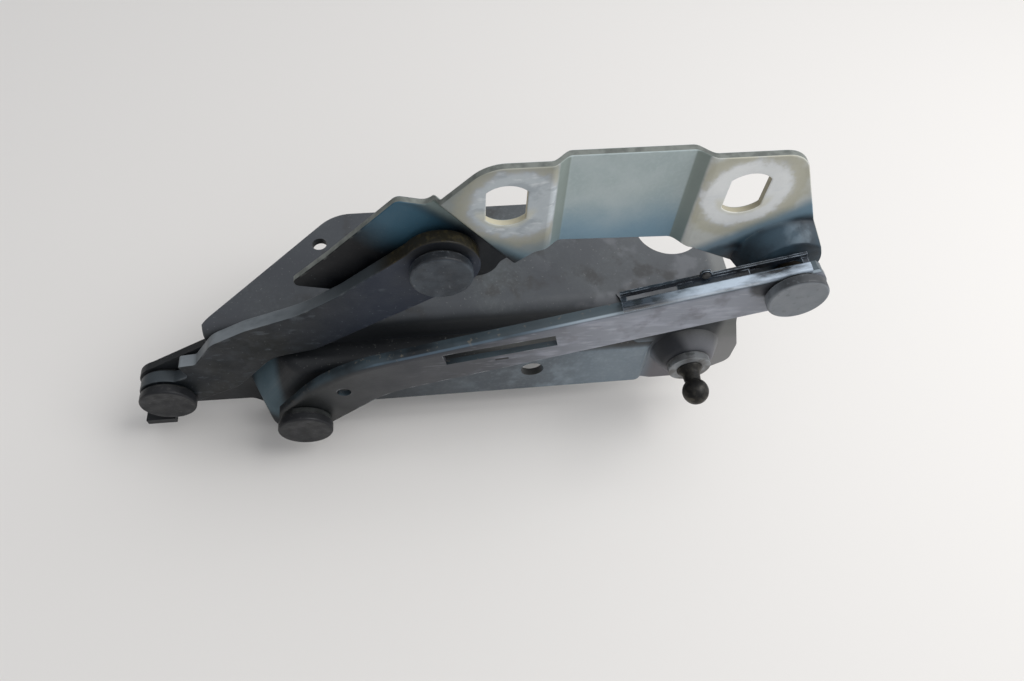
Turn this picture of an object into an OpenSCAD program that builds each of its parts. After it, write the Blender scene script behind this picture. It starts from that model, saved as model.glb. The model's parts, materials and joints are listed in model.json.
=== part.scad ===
// Four-bar bonnet hinge in its closed position.
// X runs along the hinge to the front of the car, Z is up, the pivots lie along Y.
// The origin is midway between the two body bolts, on the underside of the base flange.

/* [Pivots] */
// Short arm pivot on the base, along the hinge
pivot_a_x = -130; // [-135:0.5:-125]
// Short arm pivot on the base, height
pivot_a_z = -30.5; // [-32:0.5:-29]
// Long arm pivot on the base, along the hinge
pivot_b_x = -79; // [-82:0.5:-76]
// Long arm pivot on the base, height
pivot_b_z = -34.5; // [-36:0.5:-33]
// Short arm pivot on the bonnet bracket, along the hinge
pivot_c_x = -24; // [-28:0.5:-20]
// Short arm pivot on the bonnet bracket, height
pivot_c_z = 38.5; // [36:0.5:42]
// Long arm pivot on the bonnet bracket, along the hinge
pivot_d_x = 92.5; // [88:0.5:96]
// Long arm pivot on the bonnet bracket, height
pivot_d_z = 31; // [28:0.5:33]
// Radius of the rivet shanks
shank_r = 4; // [3.5:0.1:4.4]
// Radius of the rivet heads
head_r = 10.2; // [9.6:0.1:11]
// Thickness of the rivet heads
head_h = 3.4; // [2.5:0.1:4]
// Radius of the upset rivet tails
tail_r = 6.5; // [6:0.1:7.5]
// Height of the upset rivet tails
tail_h = 2.2; // [1.5:0.1:3]
// Wall of the pressed bushes
bush_wall = 1.2; // [1:0.1:1.4]
// Radial running clearance of a bush on its rivet
run_clear = 0.05; // [0.02:0.01:0.1]
// Radial clearance round the free-floating rivet
float_clear = 3.8; // [3.6:0.1:4]
// Radius of the friction washers
washer_r = 9.4; // [9.2:0.1:9.5]
// Axial gap beside each moving arm
side_gap = 0.3; // [0.2:0.05:0.4]

/* [Base bracket] */
// Sheet thickness of the base bracket
base_t = 3; // [2.5:0.1:3.5]
// Front face of the leg, from the body bolts
leg_y = -37; // [-40:0.5:-35]
// Far edge of the flange, from the body bolts
flange_far_y = 13.5; // [11:0.5:16]
// Left corner of the flange's far edge
flange_left_x = -64; // [-68:0.5:-60]
// Foot of the slanted flange edge, on the leg
flange_foot_x = -109.5; // [-112:0.5:-107]
// Right end of the base bracket
base_right_x = 85.5; // [84:0.5:88]
// Widest point of the strut pad, where it bulges past the flange
pad_right_x = 90.5; // [89:0.5:92]
// Outside radius of the bend between flange and leg
base_bend_r = 6; // [5:0.5:8]
// How far the raised band stands out from the leg
band_out = 10; // [9:0.5:11]
// Left end of the raised band
band_left_x = -95; // [-96:0.5:-93]
// Right end of the raised band
band_right_x = 54.5; // [53:0.5:56]
// Height of the ledge on top of the band
ledge_z = -11; // [-13:0.5:-10.5]
// Lower edge of the band
band_low_z = -39.5; // [-41:0.5:-38]
// How far the stud pad stands out from the leg
pad_out = 8.5; // [7.5:0.5:9]
// Lower edge of the stud pad
pad_low_z = -41; // [-43:0.5:-40]
// Radius of the ear round the short arm pivot
ear_r = 11; // [10.5:0.5:12]
// Drop of the ear's lower edge below the pivot
ear_drop = 17; // [16:0.5:19]
// Reach of the folded stop tab
tab_reach = 9; // [7:0.5:10]
// Width of the folded stop tab
tab_w = 11; // [9:0.5:13]
// Radius of the lobe round the long arm pivot
lobe_r = 14; // [13:0.5:16]

/* [Base holes] */
// Distance between the body bolts
body_pitch = 60; // [50:1:70]
// Radius of the body bolt holes
body_hole_r = 4.5; // [4.2:0.1:5.5]
// Access hole, along the hinge
access_x = 67; // [64:0.5:70]
// Access hole, across the flange
access_y = -3; // [-5:0.5:-2]
// Radius of the access hole
access_r = 13; // [11:0.5:13.5]
// Locating hole, along the hinge
locate_x = -69; // [-71:0.5:-66]
// Locating hole, across the flange
locate_y = -1; // [-4:0.5:0]
// Radius of the locating hole
locate_r = 2.75; // [2.5:0.05:3.2]
// Bolt hole in the leg, along the hinge
leg_hole_x = 9; // [5:0.5:13]
// Bolt hole in the leg, height
leg_hole_z = -24.5; // [-26:0.5:-23]
// Radius of the bolt hole in the leg
leg_hole_r = 4.5; // [4:0.1:5]

/* [Ball stud] */
// Ball stud, along the hinge
stud_x = 69; // [67:0.5:71]
// Ball stud, height
stud_z = -19; // [-21:0.5:-17]
// Radius of the ball
ball_r = 5; // [4.5:0.1:5.5]
// Ball centre, from the face of its washer
ball_reach = 10; // [9:0.5:12]
// Radius of the neck behind the ball
neck_r = 3; // [2.6:0.1:3.4]
// Radius of the neck's foot on the washer
neck_foot_r = 5; // [4.6:0.1:5.4]
// Radius of the stud's riveted shank
stud_shank_r = 4; // [3.5:0.1:4.4]
// Radius of the thick washer under the stud
stud_washer_r = 8.2; // [7.6:0.1:8.8]
// Thickness of the washer under the stud
stud_washer_h = 3; // [2.5:0.1:3.5]
// Radius of the embossed boss under the stud
boss_r = 9.5; // [9.2:0.1:10.5]
// Height of the embossed boss under the stud
boss_h = 6.5; // [5.5:0.1:7]
// How much wider the embossed boss is at its foot
boss_flare = 4.5; // [3:0.5:5]

/* [Short arm] */
// Thickness of the short arm
short_t = 5; // [4.5:0.1:5.5]
// Radius of the short arm's base eye
short_eye_a = 10.4; // [10:0.1:10.8]
// Radius of the short arm's bonnet eye
short_eye_c = 12.8; // [12.5:0.1:13.2]
// Gap between the ear and the short arm
gap_a = 1; // [0.9:0.1:1.4]
// Gap between the bonnet bracket and the short arm
gap_c = 2; // [1.6:0.1:2.4]

/* [Long arm] */
// Sheet thickness of the long arm
long_t = 2.2; // [2:0.1:2.3]
// Gap between the base band and the long arm's web
gap_b = 6; // [5.5:0.5:7]
// Depth of the folded top edge, web thickness included
long_flange = 4.5; // [4:0.1:5]
// Outside radius of the fold along the top edge
long_fold_r = 2.8; // [2.6:0.1:3.2]
// Radius of the long arm's base eye
long_eye_b = 10; // [9.5:0.1:10.4]
// Radius of the long arm's bonnet end
long_eye_d = 10.5; // [10:0.1:11]
// Top edge above the pivot at the bonnet end
long_top_d = 7.6; // [7.5:0.1:8.5]
// Crest of the bowed top edge, along the arm
crest_u = 23; // [20:0.5:26]
// Crest of the bowed top edge, above the pivots' line
crest_v = 24; // [22:0.5:26]
// Bend radius of the bowed top edge
crest_r = 60; // [50:1:70]
// Crest of the lower edge, along the arm
low_u = 36; // [33:0.5:39]
// Crest of the lower edge, above the pivots' line
low_v = 2.5; // [1:0.5:3.5]
// Pilot hole in the web, along the arm
pilot_u = 22; // [20:0.5:24]
// Pilot hole in the web, above the pivots' line
pilot_v = 10.5; // [9:0.5:12]
// Radius of the pilot hole
pilot_r = 2.6; // [2:0.1:3]
// Middle of the web's window, along the arm
window_u = 83; // [80:0.5:86]
// Middle of the web's window, above the pivots' line
window_v = 10.5; // [10:0.1:11]
// Length of the web's window
window_l = 40; // [36:0.5:42]
// Height of the web's window
window_h = 6.4; // [6:0.1:6.8]

/* [Stiffener] */
// Start of the stiffener, back from the bonnet pivot
stiff_from_d = 56; // [52:0.5:58]
// End of the stiffener, past the bonnet pivot
stiff_past_d = 6; // [4:0.5:8]
// Sheet thickness of the stiffener
stiff_t = 1; // [0.8:0.1:1.2]
// Height of the rolled front bead
bead_h = 1.8; // [1.6:0.1:2]
// Width of the rolled front bead
bead_w = 3.6; // [3.4:0.1:3.8]
// Height of the upturned rear lip
lip_h = 2.4; // [2:0.1:2.8]
// Length of each slot between bead and lip
stiff_slot_l = 17; // [14:0.5:19]
// Middle of the rivet, back from the bonnet pivot
stiff_rivet_from_d = 27; // [25:0.5:30]
// Radius of the stiffener rivet's head
stiff_rivet_r = 1.4; // [1.2:0.1:1.6]

/* [Bonnet bracket] */
// Sheet thickness of the bonnet bracket
bonnet_t = 2.6; // [2.4:0.1:3]
// How far the bolt pads stand out from the plate
bonnet_pad_out = 4; // [3:0.5:4.5]
// Rear bonnet bolt hole, along the hinge
bonnet_hole_x = -3.5; // [-5:0.5:-2]
// Distance between the bonnet bolt holes
bonnet_pitch = 74; // [72:0.5:76]
// Height of the bonnet bolt holes
bonnet_hole_z = 62; // [61:0.5:63]
// Radius of the bonnet bolt holes
bonnet_hole_r = 8.5; // [8:0.1:9]
// Distance between the flats of the bonnet bolt holes
bonnet_flats = 12.4; // [11:0.1:13]
// Top edge of the bonnet bracket above the bolt holes
bonnet_top = 15.5; // [14.5:0.5:17]
// Width of the recess between the bolt pads
recess_w = 36; // [34:0.5:38]
// Run of the sloping steps beside the recess
step_run = 6.5; // [5.5:0.5:7]
// Height of the recess's lower edge below the bolt holes
recess_drop = 21.5; // [20:0.5:23]
// Radius of the ear's edge at the long arm pivot
d_ear_r = 10.4; // [10:0.1:11]
// Radius of the boss round the long arm pivot
d_boss_r = 13.5; // [13:0.1:14]
// Growth of that boss from its face to the plate
d_boss_flare = 4; // [3:0.5:5]

/* [Hidden] */
$fn = 64;
arc_steps = 8;
reach = 200;
press = 0.02;
pivot_a = [pivot_a_x, pivot_a_z];
pivot_b = [pivot_b_x, pivot_b_z];
pivot_c = [pivot_c_x, pivot_c_z];
pivot_d = [pivot_d_x, pivot_d_z];
band_y = leg_y - band_out;
pad_y = leg_y - pad_out;
stud_face_y = pad_y - boss_h;
short_back_y = leg_y - gap_a;
short_front_y = short_back_y - short_t;
web_back_y = band_y - gap_b;
web_front_y = web_back_y - long_t;
plate_y = short_back_y + gap_c;
bonnet_pad_y = plate_y - bonnet_pad_out;
gap_d = gap_b;
d_face_y = web_back_y + gap_d;
lip_rear_y = d_face_y - 4 * side_gap;
bush_r = shank_r + run_clear + bush_wall;
short_l = norm(pivot_c - pivot_a);
short_angle = atan2(pivot_c.y - pivot_a.y, pivot_c.x - pivot_a.x);
long_l = norm(pivot_d - pivot_b);
long_angle = atan2(pivot_d.y - pivot_b.y, pivot_d.x - pivot_b.x);
front_washer_h = 1;
front_washer_b_h = 2.3;
dark = "#23272b";
steel = "#4a4a4a";

// Outlines: a list of [x, y, r] corners becomes points with each corner rounded to r
function unit(v) = v / norm(v);
function flat(p) = [p.x, p.y];
function corner(a, b, c) =
    let (
        p = flat(b),
        u = unit(flat(a) - p),
        w = unit(flat(c) - p),
        half = acos(u * w) / 2,
        mid = p + unit(u + w) * b.z / sin(half),
        from = p + u * b.z / tan(half) - mid,
        to = p + w * b.z / tan(half) - mid,
        start = atan2(from.y, from.x),
        turn = (atan2(to.y, to.x) - start + 540) % 360 - 180
    )
    [for (i = [0 : arc_steps]) mid + b.z * polar(start + turn * i / arc_steps)];
function rounded(p) =
    let (n = len(p))
    [for (i = [0 : n - 1])
        each (p[i].z > 0 ? corner(p[(i + n - 1) % n], p[i], p[(i + 1) % n]) : [flat(p[i])])];
// The same corners counted from a point
function from_point(p, corners) = [for (c = corners) [p.x + c.x, p.y + c.y, c.z]];

// Direction from a point to where its tangent touches a circle, on the side given as 1 or -1
function tangent_angle(p, c, r, side) =
    let (d = c - p)
    atan2(d.y, d.x) + side * asin(r / norm(d));
function tangent_length(p, c, r) = sqrt((c - p) * (c - p) - r * r);
function polar(a) = [cos(a), sin(a)];
function touch_point(p, c, r, side) = p + tangent_length(p, c, r) * polar(tangent_angle(p, c, r, side));

// Smooth step from 0 to 1 for the sloping walls of stamped forms
function ease(t) = t * t * (3 - 2 * t);

// Placing
module along_x(x0, x1) translate([x0, 0, 0]) rotate([90, 0, 90]) linear_extrude(x1 - x0) children();
module along_y(y0, y1) translate([0, y1, 0]) rotate([90, 0, 0]) linear_extrude(y1 - y0) children();
module along_z(z0, z1) translate([0, 0, z0]) linear_extrude(z1 - z0) children();
// Local x runs along the arm and local z square to it
module on_arm(p, angle) translate([p.x, 0, p.y]) rotate([0, -angle, 0]) children();
// Local z points to the front, from the plane y
module on_pivot(p, y) translate([p.x, y, p.y]) rotate([90, 0, 0]) children();
module hole_y(p, r) translate([p.x, 0, p.y]) rotate([90, 0, 0]) cylinder(r = r, h = 2 * reach, center = true);
module hole_z(x, y, r) translate([x, y, 0]) cylinder(r = r, h = 2 * reach, center = true);

// Pivot hardware
module rivet(p, face_y, sheet_t, stack) {
    on_pivot(p, face_y)
        rotate_extrude()
            polygon(rounded([
                [0, -sheet_t - tail_h, 0], [tail_r, -sheet_t - tail_h, tail_h / 2],
                [tail_r, -sheet_t, 0], [shank_r, -sheet_t, 0],
                [shank_r, stack, 0], [head_r, stack, 0],
                [head_r, stack + head_h, head_h / 4], [0, stack + head_h, 0]
            ]));
}
module ring(p, y, r, bore, h) {
    on_pivot(p, y)
        difference() {
            cylinder(r = r, h = h);
            translate([0, 0, -1]) cylinder(r = bore, h = h + 2);
        }
}
module rear_ring(p, face_y, gap) {
    ring(p, face_y, washer_r, shank_r + run_clear, gap - side_gap);
}
module front_ring(p, arm_front_y, h) {
    ring(p, arm_front_y - side_gap, washer_r, shank_r + run_clear, h);
}
module bush(p, back_y, front_y) {
    ring(p, back_y, bush_r, shank_r + run_clear, back_y - front_y);
}

// Base bracket: what lies behind its front faces, drawn in by d for the inside of the sheet
corner_steps = 4;
corner_turn = 56;
corner_lean = 6;
corner_r = 10;
corner_x = band_left_x + 9 + corner_r * tan(corner_turn / 2);
module band_section(d, lean) {
    polygon(rounded([
        [band_y + d, -reach, 0], [band_y + d, -lean - d, 5 + lean / 2 - d],
        [leg_y + base_t + 1, lean / 2 - d, 0], [leg_y + base_t + 1, -reach, 0]
    ]));
}
module base_solid(d) {
    low = -reach;
    top = base_t - d;
    end = pad_right_x + (d > 0 ? 1 : 0);
    slope = 0.7 * band_out;
    pad_left = band_right_x - 14;
    along_x(pivot_a_x - reach, end)
        polygon(rounded([
            [leg_y + d, low, 0], [leg_y + d, top, base_bend_r - d], [reach, top, 0], [reach, low, 0]
        ]));
    intersection() {
        along_z(low, ledge_z - d)
            polygon(rounded([
                [band_left_x - slope + d, leg_y + base_t + 1, 0], [band_left_x + d, band_y + d, 6 - d],
                [band_right_x - d, band_y + d, 4 - d], [band_right_x + slope - d, leg_y + base_t + 1, 0]
            ]));
        // The ledge turns down at its left end to pass under the short arm, and its wall leans back
        intersection_for(i = [0 : corner_steps])
            translate([corner_x, 0, ledge_z - corner_r])
                rotate([0, -corner_turn * i / corner_steps, 0])
                    translate([0, 0, corner_r])
                        along_x(-reach, reach) band_section(d, corner_lean * i / corner_steps);
    }
    intersection() {
        along_z(low, top)
            polygon(rounded([
                [pad_left + d, leg_y + base_t + 1, 0], [pad_left + slope + d, pad_y + d, 4 - d],
                [end, pad_y + d, 0], [end, leg_y + base_t + 1, 0]
            ]));
        along_x(-reach, end)
            polygon(rounded([
                [pad_y + d, low, 0], [pad_y + d, top, base_bend_r + 2 - d],
                [reach, top, 0], [reach, low, 0]
            ]));
    }
}
module base_front_outline() {
    high = base_t + 1;
    ear_low = pivot_a_z - ear_drop;
    union() {
        translate(pivot_b) circle(lobe_r);
        translate(pivot_a) circle(ear_r);
        polygon(rounded([
            [pivot_a_x - ear_r + 0.2, pivot_a_z, 0], [pivot_a_x - ear_r - 2, ear_low, 4],
            [band_left_x - 8, ear_low - 1, 4], [band_left_x - 1, ear_low - 9, 4],
            [pivot_b_x - 2, ear_low - 5, 8], [pivot_b_x + lobe_r, band_low_z, 10],
            [pad_left_foot(), band_low_z, 2], [pad_left_foot() + 4, pad_low_z, 2],
            [pad_right_x - 14, pad_low_z, 12], [pad_right_x, pad_low_z + 10, 6],
            [pad_right_x, pad_low_z + 22, 8], [base_right_x, -base_t, 8], [base_right_x, high, 0],
            [flange_foot_x, high, 0], [flange_foot_x, -6, 3],
            [pivot_a_x - ear_r / 2, pivot_a_z + ear_r * sin(60) - 0.2, 0]
        ]));
    }
}
function pad_left_foot() = band_right_x + 1;
module base_plan_outline() {
    polygon(rounded([
        [pivot_a_x - 2 * ear_r, band_y - 1, 0], [pad_right_x, band_y - 1, 0],
        [pad_right_x, leg_y + 2 * base_t, 0], [base_right_x, leg_y + 2 * base_t, 0],
        [base_right_x, flange_far_y, 6], [flange_left_x, flange_far_y, 16],
        [flange_foot_x, leg_y + base_t, 0], [pivot_a_x - 2 * ear_r, leg_y + base_t, 0]
    ]));
}
module base_bracket() {
    tab_x = pivot_a_x - ear_r - 2;
    tab_z = pivot_a_z - ear_drop;
    stud = [stud_x, stud_z];
    color(dark)
        difference() {
            union() {
                intersection() {
                    difference() {
                        base_solid(0);
                        base_solid(base_t);
                    }
                    along_y(-reach, reach) base_front_outline();
                    along_z(-reach, reach) base_plan_outline();
                }
                // Stop tab folded forward from the lower edge of the ear
                along_x(tab_x, tab_x + tab_w)
                    polygon(rounded([
                        [leg_y - tab_reach, tab_z, 0], [leg_y + base_t, tab_z, base_t + 1],
                        [leg_y + base_t, tab_z + 2 * base_t, 0], [leg_y, tab_z + 2 * base_t, 0],
                        [leg_y, tab_z + base_t, 1], [leg_y - tab_reach, tab_z + base_t, 0]
                    ]));
                on_pivot(stud, pad_y + 1)
                    rotate_extrude()
                        polygon(rounded([
                            [0, 0, 0], [boss_r + boss_flare, 0, 0],
                            [boss_r, boss_h + 1, 3], [0, boss_h + 1, 0]
                        ]));
            }
            on_pivot(stud, pad_y + base_t + 1) cylinder(r = boss_r - base_t, h = boss_h + 1);
            hole_y(stud, stud_shank_r + press);
            hole_y(pivot_a, shank_r + press);
            hole_y(pivot_b, shank_r + press);
            hole_y([leg_hole_x, leg_hole_z], leg_hole_r);
            hole_z(access_x, access_y, access_r);
            hole_z(locate_x, locate_y, locate_r);
            for (side = [-1, 1]) hole_z(side * body_pitch / 2, 0, body_hole_r);
        }
}

// Ball stud for the gas strut, riveted through the boss
module ball_stud() {
    foot = stud_washer_h;
    tail_z = -base_t - tail_h;
    ball_z = foot + ball_reach;
    seam = ball_z - sqrt(ball_r * ball_r - neck_r * neck_r);
    color(steel)
        on_pivot([stud_x, stud_z], stud_face_y)
            union() {
                rotate_extrude()
                    polygon(rounded([
                        [0, tail_z, 0], [stud_shank_r + 1.5, tail_z, tail_h / 2],
                        [stud_shank_r + 1.5, -base_t, 0], [stud_shank_r, -base_t, 0],
                        [stud_shank_r, foot, 0], [neck_foot_r, foot, 0],
                        [neck_foot_r, foot + 0.6, 0], [neck_r + 0.4, foot + 2.4, 2.4],
                        [neck_r, seam, 0], [0, seam, 0]
                    ]));
                translate([0, 0, ball_z]) sphere(r = ball_r);
            }
}
module stud_washer() {
    color(steel) ring([stud_x, stud_z], stud_face_y, stud_washer_r, stud_shank_r + press, stud_washer_h);
}

// Rivets and washers
module pivot_rivet_a() {
    color(dark) rivet(pivot_a, leg_y, base_t, gap_a + short_t + side_gap + front_washer_h);
}
module rear_washer_a() {
    color(steel) rear_ring(pivot_a, leg_y, gap_a);
}
module front_washer_a() {
    color(steel) front_ring(pivot_a, short_front_y, front_washer_h);
}
module pivot_rivet_b() {
    color(dark) rivet(pivot_b, band_y, base_t, gap_b + long_t + side_gap + front_washer_b_h);
}
module front_washer_b() {
    color(steel) front_ring(pivot_b, web_front_y, front_washer_b_h);
}
module pivot_rivet_c() {
    color(dark) rivet(pivot_c, plate_y, bonnet_t, gap_c + short_t + side_gap + front_washer_h);
}
module rear_washer_c() {
    color(steel) rear_ring(pivot_c, plate_y, gap_c);
}
module front_washer_c() {
    color(steel) front_ring(pivot_c, short_front_y, front_washer_h);
}
module pivot_rivet_d() {
    color(dark) rivet(pivot_d, d_face_y, bonnet_t, gap_d + long_t + side_gap + front_washer_h);
}
module front_washer_d() {
    color(steel) front_ring(pivot_d, web_front_y, front_washer_h);
}
module bush_a() {
    color(steel) bush(pivot_a, short_back_y, short_front_y);
}
module bush_b() {
    color(steel) bush(pivot_b, band_y - side_gap, web_front_y);
}
module bush_d() {
    color(steel) bush(pivot_d, d_face_y - side_gap, web_front_y);
}

// Short arm: a thick bar bowed over the corner of the base band
// Its edges between the eyes as along, above, corner radius
short_top = [
    [6, 6, 0], [15.5, 4.2, 1.5], [18, 11.6, 1.2], [24, 8.6, 2],
    [38, 14, 12], [53, 13, 20], [74, 8.4, 40], [92, 8.4, 30]
];
short_low = [[short_l / 2, -11.4, 15], [48, -5.6, 14], [24, -12.5, 14]];
// The edges run into each eye a little inside its rim
eye_inset = 0.4;
module short_arm() {
    color(dark)
        difference() {
            on_arm(pivot_a, short_angle)
                union() {
                    along_y(short_front_y, short_back_y) circle(short_eye_a);
                    along_y(short_front_y, short_back_y) translate([short_l, 0]) circle(short_eye_c);
                    along_y(short_front_y, short_back_y)
                        polygon(rounded(concat(
                            short_top,
                            [[short_l, short_eye_c - eye_inset, 0], [short_l, eye_inset - short_eye_c, 0]],
                            short_low,
                            [[1, eye_inset - short_eye_a, 0]]
                        )));
                }
            hole_y(pivot_a, bush_r);
            hole_y(pivot_c, shank_r + float_clear);
        }
}

// Long arm: a sheet web folded back along its bowed top edge
crest = [crest_u, crest_v];
far_eye = [long_l, 0];
// The top edge meets the base eye a little inside its rim
rise_eye = long_eye_b - 1;
rise_angle = tangent_angle(crest, [0, 0], rise_eye, -1) + 180;
fall_angle = atan2(long_top_d - crest_v, long_l - crest_u);
crest_turn = rise_angle - fall_angle;
crest_cut = crest_r * tan(crest_turn / 2);
rise_l = tangent_length(crest, [0, 0], rise_eye) - crest_cut;
fall_l = norm([long_l - crest_u, crest_v - long_top_d]) - crest_cut;
rise_start = crest - (rise_l + crest_cut) * polar(rise_angle);
fall_start = crest + crest_cut * polar(fall_angle);
crest_middle = fall_start - crest_r * polar(fall_angle + 90);
crest_steps = 8;

// What lies under every tangent of the bowed crest, with the section given as y and depth below the edge
module under_crest(section) {
    intersection_for(i = [0 : crest_steps])
        translate([crest_middle.x, 0, crest_middle.y])
            rotate([0, -rise_angle + crest_turn * i / crest_steps, 0])
                translate([0, 0, crest_r])
                    along_x(-reach, reach) polygon(section);
}
module long_sheet() {
    rear = web_front_y + long_flange;
    difference() {
        under_crest(rounded([
            [web_front_y, -reach, 0], [web_front_y, 0, long_fold_r], [rear, 0, 0], [rear, -reach, 0]
        ]));
        under_crest([[web_back_y, -reach], [web_back_y, -long_t], [rear + 1, -long_t], [rear + 1, -reach]]);
    }
}
module long_outline() {
    low = [low_u, low_v];
    touch_b = touch_point(low, [0, 0], long_eye_b, 1);
    touch_d = touch_point(low, far_eye, long_eye_d, -1);
    over = 2 * long_eye_b;
    rise_over = rise_start + over * polar(rise_angle + 90);
    along_y(-reach, reach) circle(long_eye_b);
    along_y(-reach, reach) translate(far_eye) circle(long_eye_d);
    along_y(-reach, reach)
        polygon(rounded([
            [0, 0, 0], [touch_b.x, touch_b.y, 0], [low.x, low.y, 40], [touch_d.x, touch_d.y, 0],
            [far_eye.x, far_eye.y, 0], [far_eye.x + stiff_past_d, long_eye_d / 2, 0],
            [far_eye.x + stiff_past_d, crest.y + over, 0], [rise_over.x, rise_over.y, 0]
        ]));
}
module long_arm() {
    color(dark)
        difference() {
            on_arm(pivot_b, long_angle)
                difference() {
                    intersection() {
                        long_sheet();
                        union() long_outline();
                    }
                    hole_y([pilot_u, pilot_v], pilot_r);
                    translate([window_u, 0, window_v])
                        rotate([0, -fall_angle * 1.6, 0])
                            cube([window_l, 2 * reach, window_h], center = true);
                }
            hole_y(pivot_b, bush_r);
            hole_y(pivot_d, bush_r);
        }
}

// Stiffener: a rolled strip along the front half of the top edge
stiff_l = stiff_from_d + stiff_past_d;
stiff_start = fall_l - stiff_from_d;
stiff_rivet_u = stiff_from_d - stiff_rivet_from_d;
stiff_rivet_v = stiff_t + stiff_rivet_r + side_gap;
stiff_rivet_h = 0.8;
module stiffener_frame() {
    start = fall_start + stiff_start * polar(fall_angle);
    on_arm(pivot_b, long_angle) on_arm(start, fall_angle) children();
}
module long_arm_stiffener() {
    trough = [web_front_y + bead_w, lip_rear_y - stiff_t];
    color(dark)
        stiffener_frame()
            difference() {
                union() {
                    along_x(0, stiff_l)
                        polygon(rounded([
                            [web_front_y, 0, 0], [web_front_y, bead_h, bead_h / 2.2],
                            [trough[0], bead_h, bead_h / 2.2], [trough[0], stiff_t, 0],
                            [trough[1], stiff_t, 0], [trough[1], lip_h, 0],
                            [lip_rear_y, lip_h, 0], [lip_rear_y, 0, 0]
                        ]));
                    along_y(trough[1], lip_rear_y)
                        translate([stiff_rivet_u, stiff_rivet_v]) circle(stiff_rivet_r + 2 * side_gap);
                }
                for (u = [2, stiff_l - stiff_slot_l - 2])
                    translate([u, trough[0], -1]) cube([stiff_slot_l, trough[1] - trough[0], stiff_t + 2]);
                hole_y([stiff_rivet_u, stiff_rivet_v], stiff_rivet_r / 2 + press);
                translate([0, -reach, -2 * reach]) cube([stiff_l, 2 * reach, 2 * reach]);
            }
}
module stiffener_rivet() {
    color(steel)
        stiffener_frame()
            translate([stiff_rivet_u, lip_rear_y - stiff_t, stiff_rivet_v])
                rotate([90, 0, 0])
                    rotate_extrude()
                        polygon(rounded([
                            [0, -stiff_t - side_gap / 2, 0], [stiff_rivet_r / 2, -stiff_t - side_gap / 2, 0],
                            [stiff_rivet_r / 2, 0, 0], [stiff_rivet_r, 0, 0],
                            [stiff_rivet_r, stiff_rivet_h, stiff_rivet_h - 0.2], [0, stiff_rivet_h, 0]
                        ]));
}

// Bonnet bracket: a stamped plate with two raised bolt pads and a boss at the long arm pivot
recess_mid = bonnet_hole_x + bonnet_pitch / 2;
joggle_dir = 38;
joggle_run = 3.5;
joggle_out = short_eye_c + 2 * side_gap;
// One sloping step along z: plate level before 0, pad level after the run
module step_solid(d, run) {
    polygon(concat(
        [[-reach, reach], [-reach, plate_y + d]],
        [for (i = [0 : arc_steps]) [run * i / arc_steps, plate_y + d - bonnet_pad_out * ease(i / arc_steps)]],
        [[reach, bonnet_pad_y + d], [reach, reach]]
    ));
}
module bonnet_solid(d) {
    rear_step = recess_mid - recess_w / 2;
    front_step = recess_mid + recess_w / 2;
    intersection() {
        translate([rear_step, 0, 0]) mirror([1, 0, 0]) along_z(-reach, reach) step_solid(d, step_run);
        translate([pivot_c.x, 0, pivot_c.y])
            rotate([0, -joggle_dir, 0])
                translate([joggle_out, 0, 0]) along_z(-reach, reach) step_solid(d, joggle_run);
    }
    translate([front_step, 0, 0]) along_z(-reach, reach) step_solid(d, step_run);
    on_pivot(pivot_d, plate_y + d)
        cylinder(
            r1 = d_boss_r + d_boss_flare * (plate_y - d_face_y) / (bonnet_pad_y - d_face_y) - d / 2,
            r2 = d_boss_r - d / 2,
            h = plate_y - d_face_y
        );
}
// Edges of the rear ear, counted from the short arm's pivot, with corner radius
rear_ear_top = [[-49.5, -12.5, 2], [-36, 0, 40], [-12, 24, 3], [-3, 21.5, 4]];
rear_ear_low = [[20, -8, 5], [17, -15, 8], [-36, -18, 10], [-48, -14.5, 2]];
module bonnet_outline() {
    top = bonnet_hole_z + bonnet_top;
    low = bonnet_hole_z - recess_drop;
    front_hole_x = bonnet_hole_x + bonnet_pitch;
    front_x = pivot_d.x + d_ear_r - 0.3;
    along_y(-reach, reach) translate(pivot_d) circle(d_ear_r);
    along_y(-reach, reach)
        polygon(rounded(concat(
            from_point(pivot_c, rear_ear_top),
            [
                [bonnet_hole_x - 6, top, 14], [front_hole_x + 14, top, 9],
                [front_x, pivot_d.y + 6, 12], [front_x, pivot_d.y, 0],
                [pivot_d.x - 2, pivot_d.y - d_ear_r + eye_inset, 0],
                [front_hole_x - 14, low - 2, 20], [recess_mid - recess_w / 2 - 8, low, 8]
            ],
            from_point(pivot_c, rear_ear_low)
        )));
}
module bonnet_bolt_hole(x) {
    translate([x, 0, bonnet_hole_z])
        intersection() {
            rotate([90, 0, 0]) cylinder(r = bonnet_hole_r, h = 2 * reach, center = true);
            cube([bonnet_flats, 2 * reach, 2 * reach], center = true);
        }
}
module bonnet_bracket() {
    color("#8f9a9c")
        difference() {
            intersection() {
                difference() {
                    bonnet_solid(0);
                    bonnet_solid(bonnet_t);
                }
                bonnet_outline();
            }
            hole_y(pivot_c, shank_r + press);
            hole_y(pivot_d, shank_r + press);
            for (i = [0, 1]) bonnet_bolt_hole(bonnet_hole_x + i * bonnet_pitch);
        }
}

base_bracket();
ball_stud();
stud_washer();
pivot_rivet_a();
front_washer_a();
rear_washer_a();
pivot_rivet_b();
front_washer_b();
short_arm();
bush_a();
long_arm();
long_arm_stiffener();
stiffener_rivet();
bush_b();
bush_d();
bonnet_bracket();
pivot_rivet_c();
front_washer_c();
rear_washer_c();
pivot_rivet_d();
front_washer_d();
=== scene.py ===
import json
import math
from typing import NamedTuple

import bmesh
import bpy
from mathutils import Matrix, Vector


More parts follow.
